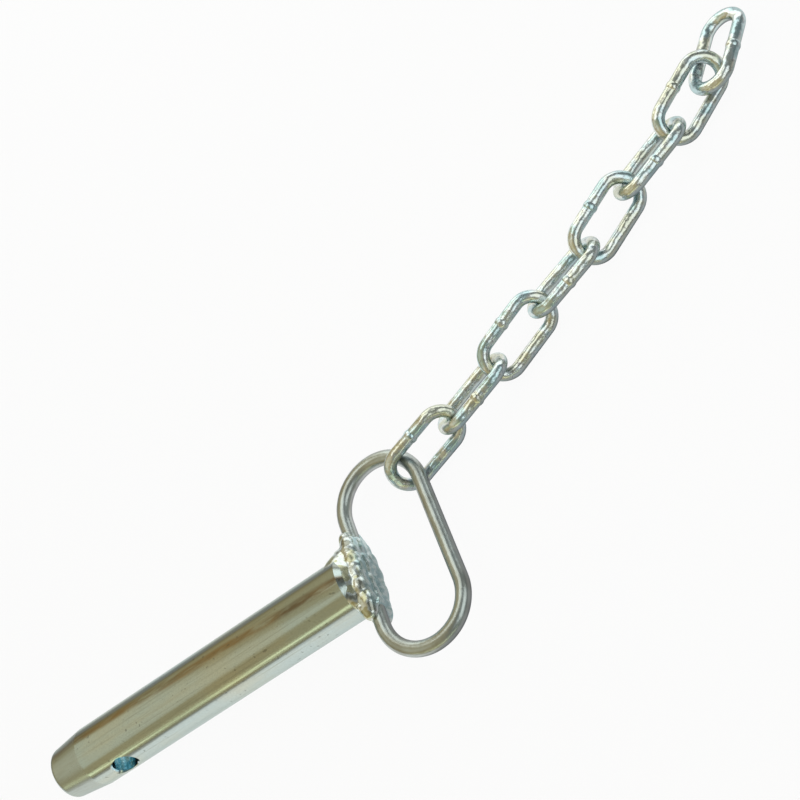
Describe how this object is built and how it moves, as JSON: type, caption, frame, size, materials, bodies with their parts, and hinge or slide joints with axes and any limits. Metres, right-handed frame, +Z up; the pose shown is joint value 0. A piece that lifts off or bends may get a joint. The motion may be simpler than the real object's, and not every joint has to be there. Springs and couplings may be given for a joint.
{
  "type": "hitch pin with chain",
  "caption": "Round steel hitch pin with a tapered nose, a cross hole, a welded oval wire handle and a short welded chain.",
  "frame": {"origin": "on the shank's axis where its parallel wall begins, 2 mm past the flat head face", "axes": "+X along the shank's axis to the nose, +Z up with the part lying on level ground at z = -12.5 mm, +Y across"},
  "size_m": [0.3801, 0.1621, 0.0259],
  "materials": {
    "shank_steel": "zinc plated and passivated, smooth turned bar",
    "weld_metal": "plated over a rippled weld",
    "handle_wire": "zinc plated round wire",
    "chain_steel": "bright zinc plated round wire"
  },
  "bodies": {
    "pin": {"shank": "shank_steel", "weld_bead": "weld_metal", "handle_loop": "handle_wire"},
    "link_1": {"chain_link_1": "chain_steel"},
    "link_2": {"chain_link_2": "chain_steel"},
    "link_3": {"chain_link_3": "chain_steel"},
    "link_4": {"chain_link_4": "chain_steel"},
    "link_5": {"chain_link_5": "chain_steel"},
    "link_6": {"chain_link_6": "chain_steel"},
    "link_7": {"chain_link_7": "chain_steel"},
    "link_8": {"chain_link_8": "chain_steel"}
  },
  "joints": [
    {"name": "link_1_swing", "type": "hinge", "parent": "pin", "child": "link_1", "pos_m": [-0.03973, -0.03165, -0.00361], "axis": [-0.2468, 0.7595, 0.6018], "range_deg": [-90, 90]},
    {"name": "link_2_swing", "type": "hinge", "parent": "link_1", "child": "link_2", "pos_m": [-0.06322, -0.03928, -0.00401], "axis": [0.2004, -0.5821, 0.788], "range_deg": [-90, 90]},
    {"name": "link_3_swing", "type": "hinge", "parent": "link_2", "child": "link_3", "pos_m": [-0.08892, -0.04819, -0.00538], "axis": [0.2306, -0.5708, -0.788], "range_deg": [-90, 90]},
    {"name": "link_4_swing", "type": "hinge", "parent": "link_3", "child": "link_4", "pos_m": [-0.11446, -0.05866, -0.00538], "axis": [-0.1902, 0.5855, -0.788], "range_deg": [-90, 90]},
    {"name": "link_5_swing", "type": "hinge", "parent": "link_4", "child": "link_5", "pos_m": [-0.14077, -0.06701, -0.00538], "axis": [-0.2795, 0.5486, 0.788], "range_deg": [-90, 90]},
    {"name": "link_6_swing", "type": "hinge", "parent": "link_5", "child": "link_6", "pos_m": [-0.16502, -0.07986, -0.00538], "axis": [0.2106, -0.5785, 0.788], "range_deg": [-90, 90]},
    {"name": "link_7_swing", "type": "hinge", "parent": "link_6", "child": "link_7", "pos_m": [-0.19035, -0.08868, -0.00538], "axis": [0.3078, -0.5332, -0.788], "range_deg": [-90, 90]},
    {"name": "link_8_swing", "type": "hinge", "parent": "link_7", "child": "link_8", "pos_m": [-0.21352, -0.10265, -0.00538], "axis": [-0.204, 0.3396, -0.9182], "range_deg": [-90, 90]}
  ]
}
